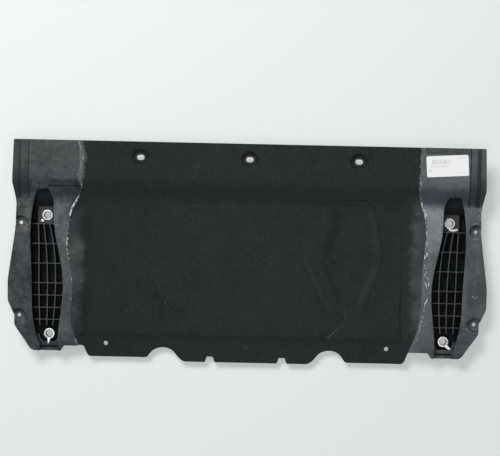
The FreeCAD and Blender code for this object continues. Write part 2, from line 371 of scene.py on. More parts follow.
# Arcs of painted highlight on the rims of the seats, and the rim of the chip.
SEAT_HIGHLIGHTS_AND_CHIP = [
    ("left_upper", 9.0, 110, 50, 3.2, 0.3), ("left_upper", 16.2, -26, 14, 1.8, 0.7),
    ("left_upper", 9.6, -80, 30, 1.6, 0.25), ("left_upper", 17.8, -62, 18, 1.6, 0.3),
    ("left_lower", 12.8, -45, 24, 1.5, 0.4), ("left_lower", 18.5, -66, 30, 1.7, 0.4),
    ("right_upper", 19.8, 112, 40, 2.0, 0.6), ("right_upper", 16.5, -85, 28, 1.6, 0.3),
    ("right_lower", 12.0, 235, 46, 1.5, 0.4), ("right_lower", 18.9, 252, 46, 1.8, 0.65),
    ("right_chip", 4.6, -90, 95, 2.2, 0.95)]
# Each spot: its place, radius and share.
SPOTS = [
    (-515.8, 102.4, 2.4, 0.2), (510.3, -55.4, 2.6, 0.12), (519.6, 110.0, 2.0, 0.35),
    (518.6, 97.0, 2.2, 0.3), (520.6, 89.0, 2.0, 0.35)]
# Each line: its two ends, half width and share.
# Painted shade on the outer walls of the drains.
DRAIN_WALLS = [(467.0, -197.0, 465.3, -229.0, 2.8, 0.7), (472.0, -183.0, 464.0, -206.0, 6.5, 0.9)]
print("arcs round the seats", len(SEAT_SHADE) + len(SEAT_HIGHLIGHTS_AND_CHIP))

# %% Wear, dirt, painted shade and painted light
GROOVE_X, GROOVE_HALF, GROOVE_MORE = 515, 1.9, 2.8
STEP_FROM = 115


def seat_arcs(x, y, arcs):
    return sum(soft_arc(x, y, SEATS[seat], *arc) * share for seat, *arc, share in arcs)


def wear_and_painted_light(finish, x, y, blotch):
    """Share of pale colour: rubbed blotches all over and a paler strip beside the felt, with painted light
    that makes the right wing paler except on its step, which stays darker as painted shade.
    """
    off_centre = abs(x)
    right = finish.right_side(x)
    spread = finish.ramp(blotch, 0.36, 0.66)
    strip = finish.ramp(y, 158, 190)
    step = finish.band(y, 121, 152, 8)
    by_felt = finish.band(off_centre, 394, 440, 6)
    upper = by_felt * finish.band(y, 12, 112, 16)
    lower = by_felt * finish.band(y, -195, 14, 22)
    low_strip = by_felt * finish.ramp(y, -80, -120)
    outer_plate = finish.ramp(off_centre, 490, 497) * finish.ramp(y, 112, 124)
    top_edge = right * finish.ramp(y, 224, 236) * (1 - outer_plate)
    low_corner = right * finish.ramp(off_centre, 444, 452) * finish.ramp(y, -125, -165)
    high_flange = right * finish.ramp(off_centre, 484, 490) * finish.band(y, 86, 116, 7)
    # On the right wing: painted light, less on the step, which keeps painted shade.
    worn = 0.26 * spread - 0.035 + right * (0.21 + 0.10 * strip - 0.20 * step) + strip * 0.03
    worn = worn + upper * (0.13 + 0.25 * spread + 0.35 * right) + lower * (0.17 + 0.02 * right)
    less = outer_plate * (0.12 + 0.09 * right) + low_strip * (0.08 + 0.04 * right)
    return worn + high_flange * 0.14 - less - top_edge * 0.28 - low_corner * 0.13


def painted_shade(finish, x, y):
    """Share of painted shade: in the grooves and the panel line, above and along the fold of the ledge on the
    left wing, on the walls of the drains and in arcs round the screw seats.
    """
    off_centre = abs(x)
    on_step = y.above(STEP_FROM)
    half_width = finish.right_side(x) * GROOVE_MORE + GROOVE_HALF
    groove = on_step * abs(off_centre - GROOVE_X).below(half_width) * 0.72
    panel_line = on_step * finish.band(off_centre, 493.9, 496.3, 0.6) * 0.8
    # Painted shade above the fold of the ledge, and along the fold.
    shade = finish.band(x, -450, -384, 5) * finish.band(y, 147, 159, 2.5) * 0.45
    fold = finish.band(x, -441, -384, 5) * finish.band(y, 144.4, 146.2, 0.5) * 0.8
    walls = soft_lines(off_centre, y, DRAIN_WALLS)
    return groove + panel_line + shade + fold + walls + seat_arcs(x, y, SEAT_SHADE)


def soiled_and_sheened(finish, x, y, blotch, colour):
    """Brown road soil in blotches, a painted cold sheen of sky on the step and part of the flange of the
    right wing, and dry soil on the left flange.
    """
    right = finish.right_side(x)
    soil = finish.ramp(finish.noise(9.0, 4.0, 0.6), 0.46, 0.66) * finish.ramp(blotch, 0.40, 0.60)
    left_strip = (1 - right) * finish.ramp(y, 150, 180)
    colour = finish.blend(soil * 0.3 + left_strip * 0.16, colour, ROAD_SOIL)
    # Painted cold sheen on the step of the right wing, then on a patch of its flange.
    colour = finish.blend(right * finish.band(y, 118, 156, 8) * 0.4, colour, COLD_SHEEN)
    cold_flange = finish.band(x, 498, 526, 8) * finish.band(y, -118, -44, 14)
    colour = finish.blend(cold_flange * 0.45, colour, COLD_SHEEN)
    left_flange = finish.band(x, -545, -490, 5) * finish.band(y, 42, 108, 14)
    return finish.blend(left_flange * finish.ramp(blotch, 0.42, 0.6, 0.1, 0.6), colour, DRY_SOIL)


def chipped_and_highlighted(finish, x, y, colour):
    """Painted highlights in pale flecks on the rims of the screw seats, a pale chip on the right flange and a
    few pale spots.
    """
    flecks = finish.ramp(finish.noise(220.0, 3.0, 0.6), 0.42, 0.6, 0.2, 1.0)
    # Painted highlights on the seat rims, and the chip.
    colour = finish.blend(seat_arcs(x, y, SEAT_HIGHLIGHTS_AND_CHIP) * flecks, colour, CHALK_AND_HIGHLIGHT)
    for *middle, radius, share in SPOTS:
        colour = finish.blend(square_from(x, y, middle).below(radius ** 2) * share, colour, CHALK_AND_HIGHLIGHT)
    return colour


print("wear and dirt ready")

# %% Plastic of the wings
POCKET_X = (409, 494)
POCKET_Y = (-207.5, 136)
RIM_LEVEL = 27.5
LOW_RIM_Y, LOW_RIM_DROP = -183, 3
HOLLOW_LEVELS = (12, 24)
RIB_LEVEL, RIB_CLOSE = 18.5, 0.6
PAD_LEVEL, SHELF_LEVEL, LEVEL_CLOSE = 12, 17, 0.4
SHELF_Y = -186
FACES_UP = 0.96


def pocketed(finish, x, y, z, colour):
    """Painted shade in the ribbed pockets over the unworn black plastic, darker with depth; painted light on
    the up-facing tops of ribs, pads and shelves; painted shade in the drains.
    """
    off_centre = abs(x)
    facing = finish.node("ShaderNodeNewGeometry", output="Normal")
    up = finish.node("ShaderNodeSeparateXYZ", {}, {0: facing}, "Z").above(FACES_UP)
    rim = RIM_LEVEL - y.below(LOW_RIM_Y) * LOW_RIM_DROP
    pocket = off_centre.above(POCKET_X[0]) * off_centre.below(POCKET_X[1]) * z.below(rim)
    pocket = pocket * y.above(POCKET_Y[0]) * y.below(POCKET_Y[1])
    # Painted shade: darker with depth, with painted light on the level tops.
    hollow = finish.blend(finish.ramp(z, *HOLLOW_LEVELS), PLASTIC_DEEP, PLASTIC_RAMP)
    hollow = finish.blend(up * abs(z - RIB_LEVEL).below(RIB_CLOSE), hollow, PLASTIC_RIB)
    hollow = finish.blend(up * abs(z - PAD_LEVEL).below(LEVEL_CLOSE), hollow, PLASTIC_PAD)
    shelf = up * abs(z - SHELF_LEVEL).below(LEVEL_CLOSE) * y.below(SHELF_Y)
    hollow = finish.blend(shelf, hollow, PLASTIC_SHELF)
    colour = finish.blend(pocket, colour, hollow)
    # Painted shade in the drain groove.
    drain = z.below(SHELF_LEVEL - 1) * y.below(POCKET_Y[0])
    return finish.blend(drain * 0.8, colour, SHADE_GREY)


def plastic_finish():
    finish = Finish("scuffed_and_shaded_plastic")
    x, y, z = (finish.axis(name) for name in "XYZ")
    rubbed = finish.noise(1.0, 3.0, 0.6, finish.stretched((60.0, 150.0, 60.0), 0.06))
    blotch = finish.noise(15.0, 6.0, 0.6) * 0.5 + finish.noise(95.0, 5.0, 0.65) * 0.4 + rubbed * 0.1
    colour = finish.blend(wear_and_painted_light(finish, x, y, blotch), PLASTIC_DARK, PLASTIC_PALE)
    colour = soiled_and_sheened(finish, x, y, blotch, colour)
    colour = finish.blend(painted_shade(finish, x, y), colour, SHADE_GREY)
    colour = chipped_and_highlighted(finish, x, y, colour)
    colour = pocketed(finish, x, y, z, colour)
    grain = finish.noise(1500.0, 2.0) * 0.6 + finish.noise(420.0, 3.0) * 0.4
    return finish.finish(
        Base_Color=colour, Roughness=0.5 + 0.25 * blotch, Specular_IOR_Level=0.16,
        Normal=finish.bump(grain, 0.12 * MM, 0.7))


plastic = plastic_finish()
print("plastic", len(plastic.node_tree.nodes), "nodes")

# %% [markdown]
# ## Felt
# The felt is a mat of short dark fibres with a few pale ones: two stretched noises that cross. Painted shade
# darkens the dishes round the slots, the bend of the lip, the rims of the hollow and the feet of the banks,
# and painted light brightens the step, the lit banks of the hollow and the rims of the slots. The felt is
# darker towards the left and along the lower lip, and dust lies on the banks beside the wings.

# %% Colours and places of the felt
FELT_DARK = grey(0.0078, (0.84, 1.0, 1.06))
FELT_PALE = grey(0.037, (0.84, 1.0, 1.06))
# Paler felt as painted light on the step, the lit banks and the slot rims.
FELT_PAINTED_LIGHT = grey(0.062, (0.86, 1.0, 1.06))
# Darker felt for painted shade, and for the darker left side and lower lip.
FELT_DARKENED = grey(0.006, (0.86, 1.0, 1.04))
FELT_DUSTY = grey(0.078, (0.90, 1.0, 0.98))
LINT = grey(0.34)
SLOT_PITCH, SLOT_Y = 245, 211.6
DISH_FLATNESS = 1.18
MARK = (-1.6, -211)
MARK_RING = (3, 5.6)
# Each line: its two ends, half width and share.
SCRATCHES = [
    (183, -188.5, 205, -165.5, 1.6, 0.22), (219, -118, 226, -147, 1.4, 0.10),
    (210, -163, 224, -150, 2.4, 0.05)]
# Lines of painted shade along the rims of the hollow, its left bank and the feet of the tray's banks.
SHADE_LINES = [
    (182, 125.2, 266, 126, 3.6, 0.36), (209, -107.2, 243, -107.2, 2.4, 0.3),
    (264, 126, 283, 111, 3.2, 0.40), (184, 125, 170, 111, 3.6, 0.40),
    (283, 112, 304.3, 6.3, 3.4, 0.42), (304.3, 6.3, 299.4, -30, 3.4, 0.42),
    (299.4, -30, 258.6, -130.4, 3.6, 0.34), (168, -14.7, 209.5, -106.6, 5.5, 0.36),
    (197, 100, 184, 10, 16, 0.10), (346.5, 40, 348.4, -62.8, 4.0, 0.26),
    (348.4, -62.8, 345.8, -130.8, 4.2, 0.5), (345.8, -130.8, 349.2, -187, 4.2, 0.55),
    (-366, 20, -366, -188, 7.0, 0.22)]
# Lines of painted light on the lit banks and left rim of the hollow, and along a crease.
PALE_LINES = [
    (289, -24, 251, -114, 9, 0.13), (278, 105, 295, 8, 10, 0.10), (136, -20, 160, -72, 7, 0.13),
    (160, -72, 190, -128, 7, 0.13), (172, 108, 170, 30, 6, 0.10)]
print("creases in the felt", len(SHADE_LINES) + len(PALE_LINES))


# %% Needle felt
def slot_distance(x, y):
    """Distance from the middle of the nearest slot, longer up and down because the dishes are oval."""
    outer = abs(x) - SLOT_PITCH
    above = (y - SLOT_Y) * DISH_FLATNESS
    return ((x * x).lesser(outer * outer) + above * above).root()


def felt_shade(finish, x, y, fibre):
    """Share of painted shade in the felt: the dishes round the slots, darker above, the bend of the lip and
    lines along the rims of the hollow, its left bank and the feet of the banks.
    """
    upper = finish.ramp(y, SLOT_Y - 14, SLOT_Y + 8, 0.62, 1.0)
    dish = finish.band(slot_distance(x, y), 14.2, 20.2, 2.2) * upper
    lip = finish.band(y, -193, -189, 4.5) * 0.5
    return dish + (lip + soft_lines(x, y, SHADE_LINES)) * finish.ramp(fibre, 0.2, 0.6, 0.55, 1.2)


def dusty(finish, x, y, cloud, fibre):
    """Share of dust on the banks beside the wings, which reaches higher on the right."""
    uneven = abs(x) + (cloud - 0.5) * 42
    upper_end = 1 - finish.ramp(y - finish.right_side(x) * 28, 64, 104)
    bank = finish.band(uneven, 374, 425, 11) * finish.ramp(y, -198, -158) * upper_end
    return bank * (0.28 + 0.8 * finish.ramp(cloud * 0.6 + fibre * 0.4, 0.4, 0.7))


def littered(finish, x, y, fibre, colour):
    """The faint ring of a moulded mark, pale lint and a few scratches."""
    from_mark = square_from(x, y, MARK)
    ring = from_mark.below(MARK_RING[1] ** 2) - from_mark.below(MARK_RING[0] ** 2)
    colour = finish.blend(ring * 0.06, colour, LINT)
    speck = finish.noise(330.0, 1.0).above(0.79) * finish.noise(60.0, 1.0).above(0.58)
    colour = finish.blend(speck * 0.6, colour, LINT)
    for *line, share in SCRATCHES:
        streak = soft_line(x, y, *line) * finish.ramp(fibre, 0.3, 0.6)
        colour = finish.blend(streak * share, colour, LINT)
    return colour


def felt_finish():
    finish = Finish("needle_felt")
    x, y = finish.axis("X"), finish.axis("Y")
    along = finish.noise(1.0, 5.0, 0.7, finish.stretched((900.0, 210.0, 500.0), 0.5))
    across = finish.noise(1.0, 5.0, 0.7, finish.stretched((210.0, 900.0, 500.0), 0.2))
    cloud = finish.noise(24.0, 4.0, 0.6)
    fibre = along * 0.5 + across * 0.5
    colour = finish.blend(finish.ramp(fibre * 0.9 + cloud * 0.1, 0.34, 0.66), FELT_DARK, FELT_PALE)
    # Painted light on the sloping step.
    step = finish.band(y, 124, 149, 10)
    colour = finish.blend(step * (0.04 + 0.3 * fibre), colour, FELT_PAINTED_LIGHT)
    # Darker towards the left and along the lower lip.
    darker_left_and_low = finish.ramp(x, -60, -300) * 0.16 + finish.ramp(y, -190, -200) * 0.1
    colour = finish.blend(darker_left_and_low, colour, FELT_DARKENED)
    colour = finish.blend(dusty(finish, x, y, cloud, fibre), colour, FELT_DUSTY)
    # Painted shade in the dishes, at the lip and along the rims and banks.
    colour = finish.blend(felt_shade(finish, x, y, fibre), colour, FELT_DARKENED)
    # Painted highlights on the rims of the slots, and painted light along the pale lines.
    slot_rim = finish.band(slot_distance(x, y), 9.5, 11.5, 1.4)
    colour = finish.blend(slot_rim * 0.3 + soft_lines(x, y, PALE_LINES), colour, FELT_PAINTED_LIGHT)
    colour = littered(finish, x, y, fibre, colour)
    return finish.finish(
        Base_Color=colour, Roughness=0.95, Specular_IOR_Level=0.12, Sheen_Weight=0.15,
        Normal=finish.bump(fibre, 0.9 * MM, 0.8))


felt = felt_finish()
print("felt", len(felt.node_tree.nodes), "nodes")

# %% [markdown]
# ## Zinc, film and paint
# The bushes are zinc-plated steel, bright on the flange, with painted shade inside the bore. The film along
# the joint is clear plastic that is nearly white in flecks, most of them on the slope below the step. The
# paint is white, a little greyer where it is thin.

# %% Zinc, film and paint
ZINC_BRIGHT = grey(0.93)
ZINC_STAINED = grey(0.74, (1.0, 0.99, 0.96))
# Painted shade inside the bore.
BORE_DARK = grey(0.10)
FILM_CLEAR = grey(0.08, (0.9, 1.0, 1.04))
FILM_WHITE = grey(0.62)
PAINT_THIN = grey(0.70, (0.97, 0.98, 1.0))
PAINT_THICK = grey(0.88)
UPPER_BUSH = (455.2, 78.1)
LOWER_BUSH = (445.5, -189.5)
BORE_EDGE = 8.7


def zinc_finish():
    finish = Finish("zinc_plate")
    off_centre, y = abs(finish.axis("X")), finish.axis("Y")
    nearest = square_from(off_centre, y, UPPER_BUSH).lesser(square_from(off_centre, y, LOWER_BUSH))
    stain = finish.noise(240.0, 3.0)
    colour = finish.blend(finish.ramp(stain, 0.35, 0.8), ZINC_BRIGHT, ZINC_STAINED)
    # Painted shade inside the bore and on its edge.
    colour = finish.blend(nearest.below(BORE_EDGE ** 2), colour, BORE_DARK)
    return finish.finish(Base_Color=colour, Metallic=0.55, Roughness=0.3 + 0.22 * stain)


def film_finish():
    finish = Finish("feathered_flash")
    x, y = finish.axis("X"), finish.axis("Y")
    right = finish.right_side(x)
    top = finish.ramp(y, 146, 160)
    fleck = finish.noise(1.0, 3.0, 0.65, finish.stretched((260.0, 120.0, 200.0)))
    streak = finish.noise(1.0, 3.0, 0.7, finish.stretched((430.0, 70.0, 100.0)))
    fleck = fleck * (1 - 0.7 * top) + streak * (0.7 * top)
    slope = finish.band(y, 92, 126, 10) * 0.09
    beads = finish.band(y, -25, 62, 10) * 0.03 + finish.band(y, -105, -25, 8) * right * 0.02
    left_end = finish.ramp(y, -196, -204) * 0.12 - finish.band(y, -198, -28, 8) * 0.05
    white = finish.ramp(fleck + slope + beads + left_end * (1 - right) - 0.015 * top, 0.54, 0.62)
    dull = top * (0.52 - 0.12 * right) + finish.ramp(y, -90, -130) * 0.5
    colour = finish.blend(white * (1 - dull), FILM_CLEAR, FILM_WHITE)
    return finish.finish(Base_Color=colour, Roughness=0.6, Normal=finish.bump(fleck, 0.3 * MM, 0.6))


def paint_finish():
    finish = Finish("white_paint")
    thin = finish.noise(300.0, 2.0)
    colour = finish.blend(finish.ramp(thin, 0.3, 0.7), PAINT_THIN, PAINT_THICK)
    return finish.finish(Base_Color=colour, Roughness=0.45, Normal=finish.bump(thin, 0.15 * MM, 0.5))


zinc = zinc_finish()
flash = film_finish()
paint = paint_finish()
print("finishes", [m.name for m in (plastic, felt, zinc, flash, paint)])

# %% [markdown]
# ## Wings and bushes
# A moulding has no knife edges: every edge has a small radius that catches the light. The CAD mesh is
# loose triangles, so a copy is merged, flat triangles are dissolved into whole faces, and a narrow bevel
# goes round the edges. The copy takes the place of the CAD node, which stays in the scene, hidden. The copy
# stands for the CAD node, which stays for collision. The rims of the bushes' flanges are drawn in by about
# a millimetre, as in the photograph.


# %% Choose, edit and finish an object
def choose(*objs):
    """Select these objects only, and make the last one active."""
    deselect()
    for obj in objs:
        obj.select_set(True)
    bpy.context.view_layer.objects.active = objs[-1]


def edit(obj):
    choose(obj)
    bpy.ops.object.mode_set(mode="EDIT")
    bpy.ops.mesh.select_all(action="SELECT")


def leave_edit():
    bpy.ops.object.mode_set(mode="OBJECT")


def face_outwards(obj):
    edit(obj)
    bpy.ops.mesh.normals_make_consistent(inside=False)
    leave_edit()


def apply_all(obj):
    choose(obj)
    for modifier in list(obj.modifiers):
        bpy.ops.object.modifier_apply(modifier=modifier.name)


def thicken(obj, name, thickness):
    sheet = obj.modifiers.new(name, "SOLIDIFY")
    sheet.thickness = thickness
    apply_all(obj)


def smooth(obj, degrees):
    """Shade as one round surface the faces that meet at less than an angle."""
    choose(obj)
    bpy.ops.object.shade_smooth_by_angle(angle=math.radians(degrees))


print("helpers for editing ready")

# %% Copies with rounded edges
MERGE_WITHIN = 0.004 * MM
FLAT_WITHIN = math.radians(0.3)
SHARP_FROM = math.radians(40)
EDGE_SMOOTH = 32


def merged_copy(node, name):
    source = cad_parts[node]
    copy = bpy.data.objects.new(name, source.data.copy())
    bpy.context.scene.collection.objects.link(copy)
    edit(copy)
    bpy.ops.mesh.customdata_custom_splitnormals_clear()
    bpy.ops.mesh.remove_doubles(threshold=MERGE_WITHIN)
    bpy.ops.mesh.dissolve_limited(angle_limit=FLAT_WITHIN)
    leave_edit()
    copy.data.materials.clear()
    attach(copy, "root")
    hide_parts(node)
    return copy


def round_edges(obj, radius, segments):
    bevel = obj.modifiers.new("edge_radius", "BEVEL")
    bevel.width = radius
    bevel.segments = segments
    bevel.limit_method = "ANGLE"
    bevel.angle_limit = SHARP_FROM
    bevel.use_clamp_overlap = False
    apply_all(obj)
    smooth(obj, EDGE_SMOOTH)


def steps(low, high, pitch):
    """Even places between two ends, about one pitch apart."""
    count = max(1, round((high - low) / pitch))
    return [low + (high - low) * index / count for index in range(1, count)]


def net_lines(low, high, pitch):
    """Pairs of axis and place for an even net between two corners."""
    return [(axis, place) for axis in (0, 1) for place in steps(low[axis], high[axis], pitch)]


def cut_net(obj, lines):
    """Cut the mesh along planes across one axis each; lines holds pairs of axis and place."""
    edit(obj)
    for axis, place in lines:
        point = [0.0, 0.0, 0.0]
        point[axis] = place
        normal = tuple(1.0 if column == axis else 0.0 for column in range(3))
        bpy.ops.mesh.select_all(action="SELECT")
        bpy.ops.mesh.bisect(plane_co=point, plane_no=normal)
    leave_edit()


print("helpers for copies ready")

# %% [markdown]
# Felt and wings share one skin: a high strip, a step down, and a sunken tray between sloping banks. Where its
# planes meet, a pressed sheet turns softly. Each point moves up or down by the difference between the skin's
# mean height round about and its height at that place, so the pieces stay in touch.

# %% Soft turns of the skin
STRIP_SKIN, FLANGE_SKIN, TRAY_SKIN = 39.5 * MM, 25.5 * MM, 14.5 * MM
STEP_FOOT, STEP_HEAD, STEP_BEND = 119 * MM, 154 * MM, 24 * MM
LIP_HEAD, LIP_FOOT, LIP_DROP = -186 * MM, -196 * MM, 3 * MM
BANK_FOOT, BANK_HEAD = 352 * MM, 388 * MM
SOFT_RADIUS = 15 * MM
SOFT_RINGS = ((0.35, 5), (0.65, 9), (0.92, 13))
UPPER_PART = 90 * MM
BOLTED_FROM, BOLTED_FADE = 420 * MM, 20 * MM


def share_between(low, high, value):
    return max(0.0, min(1.0, (value - low) / (high - low)))


def profile(y, level):
    """Height of the skin along Y where it steps down to a level, with the bends of the step."""
    angle = math.atan2(STRIP_SKIN - level, STEP_HEAD - STEP_FOOT)
    run = STEP_BEND * math.tan(angle / 2)
    if y <= STEP_FOOT - run:
        return level - LIP_DROP * share_between(LIP_HEAD, LIP_FOOT, y)
    if y >= STEP_HEAD + run:
        return STRIP_SKIN
    if y < STEP_FOOT + run * math.cos(angle):
        return level + STEP_BEND - math.sqrt(STEP_BEND ** 2 - (y - STEP_FOOT + run) ** 2)
    if y > STEP_HEAD - run * math.cos(angle):
        return STRIP_SKIN - STEP_BEND + math.sqrt(STEP_BEND ** 2 - (STEP_HEAD + run - y) ** 2)
    return level + (y - STEP_FOOT) * math.tan(angle)


def skin(x, y):
    bank = TRAY_SKIN + (FLANGE_SKIN - TRAY_SKIN) * (abs(x) - BANK_FOOT) / (BANK_HEAD - BANK_FOOT)
    return min(profile(y, FLANGE_SKIN), max(profile(y, TRAY_SKIN), bank))


def soften(obj):
    """Soften the turns, but leave the part of the wings with the bolted pockets as it is."""
    ring = [(0.0, 0.0)]
    for share, count in SOFT_RINGS:
        for index in range(count):
            angle = 2 * math.pi * index / count + share
            ring.append((SOFT_RADIUS * share * math.cos(angle), SOFT_RADIUS * share * math.sin(angle)))
    for vertex in obj.data.vertices:
        x, y = vertex.co.x, vertex.co.y
        shift = sum(skin(x + dx, y + dy) for dx, dy in ring) / len(ring) - skin(x, y)
        if y < UPPER_PART:
            shift *= share_between(BOLTED_FROM, BOLTED_FROM - BOLTED_FADE, abs(x))
        vertex.co.z += shift


print("skin at the step", round(skin(0.0, 0.13), 4), "on the bank", round(skin(0.37, 0.0), 4))

# %% Wings and bushes
WING_EDGE, WING_SEGMENTS = 0.5 * MM, 2
BUSH_EDGE, BUSH_SEGMENTS = 0.45 * MM, 3
WING_PITCH = 7 * MM
STEP_MARGIN, LIP_MARGIN = 20 * MM, 16 * MM
FLANGE_FROM = 9.5 * MM
FLANGE_SHARE = 0.7


def slim_flanges(bushes):
    """Draw the rims of the flanges in towards the bores."""
    for vertex in bushes.data.vertices:
        for x, y in (UPPER_BUSH, LOWER_BUSH):
            middle = Vector((math.copysign(x, vertex.co.x), y)) * MM
            out = vertex.co.xy - middle
            if FLANGE_FROM < out.length < 2 * FLANGE_FROM:
                out *= (FLANGE_FROM + (out.length - FLANGE_FROM) * FLANGE_SHARE) / out.length
                vertex.co.xy = middle + out


wings = {}
bush_pairs = {}
for side in SIGN:
    wing = merged_copy(side + "_wing", side + "_wing_moulded")
    round_edges(wing, WING_EDGE, WING_SEGMENTS)
    wing_low, wing_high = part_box(side + "_wing")
    lines = [(0, place) for place in steps(wing_low.x, wing_high.x, WING_PITCH)]
    lines += [(1, place) for place in steps(STEP_FOOT - STEP_MARGIN, STEP_HEAD + STEP_MARGIN, WING_PITCH)]
    lines += [(1, place) for place in steps(LIP_FOOT - LIP_MARGIN, LIP_HEAD + LIP_MARGIN, WING_PITCH)]
    cut_net(wing, lines)
    soften(wing)
    wing.data.materials.append(plastic)
    wings[side] = wing
    bushes = merged_copy(side + "_bushes", side + "_bushes_turned")
    round_edges(bushes, BUSH_EDGE, BUSH_SEGMENTS)
    slim_flanges(bushes)
    bushes.data.materials.append(zinc)
    bush_pairs[side] = bushes
    print(side, "wing faces", len(wing.data.polygons), "bushes faces", len(bushes.data.polygons))

# %% [markdown]
# ## Felt panel
# Pressed felt is never dead flat. The merged copy is cut into a net of small cells, as with a bisect for
# each line of the net, and then its points are moved. The two arches of the lower edge get a rounder head,
# and the tabs beside them sag by a few millimetres. The hexagonal hollow runs out softly at its head, and
# the slots close in a little. Last come broad waves, the faint creases of the press tool and a soft
# lumpiness. Upper and lower face move together in these, so the thickness stays.

# %% Cut the felt into a net
NET_PITCH = 8 * MM
panel = merged_copy("felt_panel", "felt_panel_pressed")
cut_net(panel, net_lines(*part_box("felt_panel"), NET_PITCH))
soften(panel)
print("felt faces", len(panel.data.polygons))

# %% Shape the lower edge
ARCH_X, ARCH_TOP, ARCH_RADIUS = 188.2 * MM, -215.5 * MM, 37 * MM
ARCH_ROUND = 30 * MM
ARCH_FEET = {"inner": -247 * MM, "outer": -236 * MM}
ARCH_REACH = 18 * MM
ARCH_TRIM = 3 * MM
TAB_START, TAB_FULL, TAB_END = 15 * MM, 40 * MM, 368 * MM
TAB_SAG = {"left": 3 * MM, "right": 6 * MM}
LIP_MIDDLE_Z = 9 * MM


def arch_edge(off_middle):
    """Lower edge of the felt beside the middle of an arch: a round head, then a flare to the foot."""
    foot = ARCH_FEET["outer" if off_middle > 0 else "inner"]
    aside = abs(off_middle)
    if aside <= ARCH_ROUND:
        return ARCH_TOP - ARCH_RADIUS + math.sqrt(ARCH_RADIUS ** 2 - aside ** 2)
    fall = math.sqrt(ARCH_RADIUS ** 2 - ARCH_ROUND ** 2)
    start = ARCH_TOP - ARCH_RADIUS + fall
    slope = ARCH_ROUND / fall
    length = 2 * (start - foot) / slope
    share = min((aside - ARCH_ROUND) / length, 1.0)
    return start - slope * length * (share - share ** 2 / 2)


bpy.context.view_layer.update()
felt_net = BVHTree.FromObject(panel, bpy.context.evaluated_depsgraph_get())
moved = 0
for vertex in panel.data.vertices:
    x, y = vertex.co.xy
    off_middle = abs(x) - ARCH_X
    if y > ARCH_TOP + ARCH_REACH or abs(x) > TAB_END or off_middle < -2 * ARCH_ROUND:
        continue
    sag = TAB_SAG["right" if x > 0 else "left"] * share_between(TAB_START, TAB_FULL, off_middle)
    sag *= share_between(ARCH_REACH, 0.0, y - ARCH_FEET["outer"])
    edge = felt_net.ray_cast(Vector((x, -1.0, LIP_MIDDLE_Z)), Vector((0, 1, 0)))[0]
    if edge and off_middle < 2 * ARCH_ROUND:
        rounding = max(-ARCH_TRIM, edge.y - arch_edge(off_middle))
        sag += rounding * share_between(ARCH_REACH, 0.0, y - edge.y)
    vertex.co.y -= sag
    moved += 1
print("points by the lower edge", moved)

# %% Ease the head of the hollow and the slots
RAY_START = 0.3
HOLLOW_X = (165 * MM, 310 * MM)
HOLLOW_FADE = (84 * MM, 120 * MM)
HOLLOW_END = 140 * MM
HOLLOW_LEFT = 0.06
HEAD_MIDDLE, HEAD_ENDS = 224 * MM, (54 * MM, 36 * MM)
BESIDE_HOLLOW = 150 * MM
SLOT_REACH = (14 * MM, 9.5 * MM)
SLOT_CLOSING = 0.10


def face_height(x, y, side):
    """Height of the felt's upper face, for side 1, or of its lower face, for side -1."""
    return felt_net.ray_cast(Vector((x, y, side * RAY_START)), Vector((0, 0, -side)))[0].z


eased = 0
for vertex in panel.data.vertices:
    x, y = vertex.co.xy
    if HOLLOW_X[0] < x < HOLLOW_X[1] and HOLLOW_FADE[0] < y < HOLLOW_END:
        side = math.copysign(1, vertex.normal.z)
        depth = max(0.0, face_height(BESIDE_HOLLOW, y, side) - vertex.co.z)
        left = HOLLOW_LEFT * share_between(*HEAD_ENDS, abs(x - HEAD_MIDDLE))
        vertex.co.z += depth * (1 - left) * share_between(*HOLLOW_FADE, y)
        eased += 1
    middle = Vector((SLOT_PITCH * round(x / (SLOT_PITCH * MM)), SLOT_Y)) * MM
    out = vertex.co.xy - middle
    vertex.co.xy = middle + out * (1 - SLOT_CLOSING * share_between(*SLOT_REACH, out.length))
print("points eased in the hollow", eased)

# %% Lift the points of the net
CREASES = [
    [(-88, 32), (-68, 0), (-40, -12), (40, -14), (84, -10)],
    [(136, -20), (160, -72), (186, -122), (219, -138)],
    [(136, -20), (150, 40), (163, 60)]]
CREASE_HEIGHT = 0.7 * MM
CREASE_WIDTH = 4.5 * MM
WAVE, WAVE_SCALE, WAVE_SEED = 0.45 * MM, 7, 0.3
LUMP, LUMP_SCALE, LUMP_SEED = 0.18 * MM, 45, 4.1
SEAM_X = min(abs(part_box("left_wing")[1].x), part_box("right_wing")[0].x)
LIFT_FROM, LIFT_FULL = SEAM_X - 8 * MM, SEAM_X - 33 * MM
FELT_SMOOTH = 22


def off_line(point, first, last):
    """Distance from a plan point to a straight stretch."""
    run = last - first
    share = share_between(0.0, run.length_squared, (point - first).dot(run))
    return (point - first - run * share).length


stretches = []
for line in CREASES:
    points = [Vector((x * MM, y * MM)) for x, y in line]
    stretches += list(zip(points, points[1:]))
for vertex in panel.data.vertices:
    here = Vector(vertex.co.xy)
    lift = WAVE * noise.noise(Vector((here.x * WAVE_SCALE, here.y * WAVE_SCALE, WAVE_SEED)))
    lift += LUMP * noise.noise(Vector((here.x * LUMP_SCALE, here.y * LUMP_SCALE, LUMP_SEED)))
    near = min(off_line(here, first, last) for first, last in stretches)
    lift += CREASE_HEIGHT * math.exp(-(near / CREASE_WIDTH) ** 2)
    vertex.co.z += lift * share_between(LIFT_FROM, LIFT_FULL, abs(here.x))
smooth(panel, FELT_SMOOTH)
panel.data.materials.append(felt)
print("felt points lifted", len(panel.data.vertices))

# %% [markdown]
# ## What lies on the surface
# The film along the joint, the label and the paint marks all lie on the surfaces below them. A ray cast
# straight down finds the height of the surface at any plan point, so each of them can be shaped flat and
# then dropped on.

# %% Height of the surface at a plan point
bpy.context.view_layer.update()
depsgraph = bpy.context.evaluated_depsgraph_get()


def ray_net(*objs):
    return [BVHTree.FromObject(obj, depsgraph) for obj in objs]


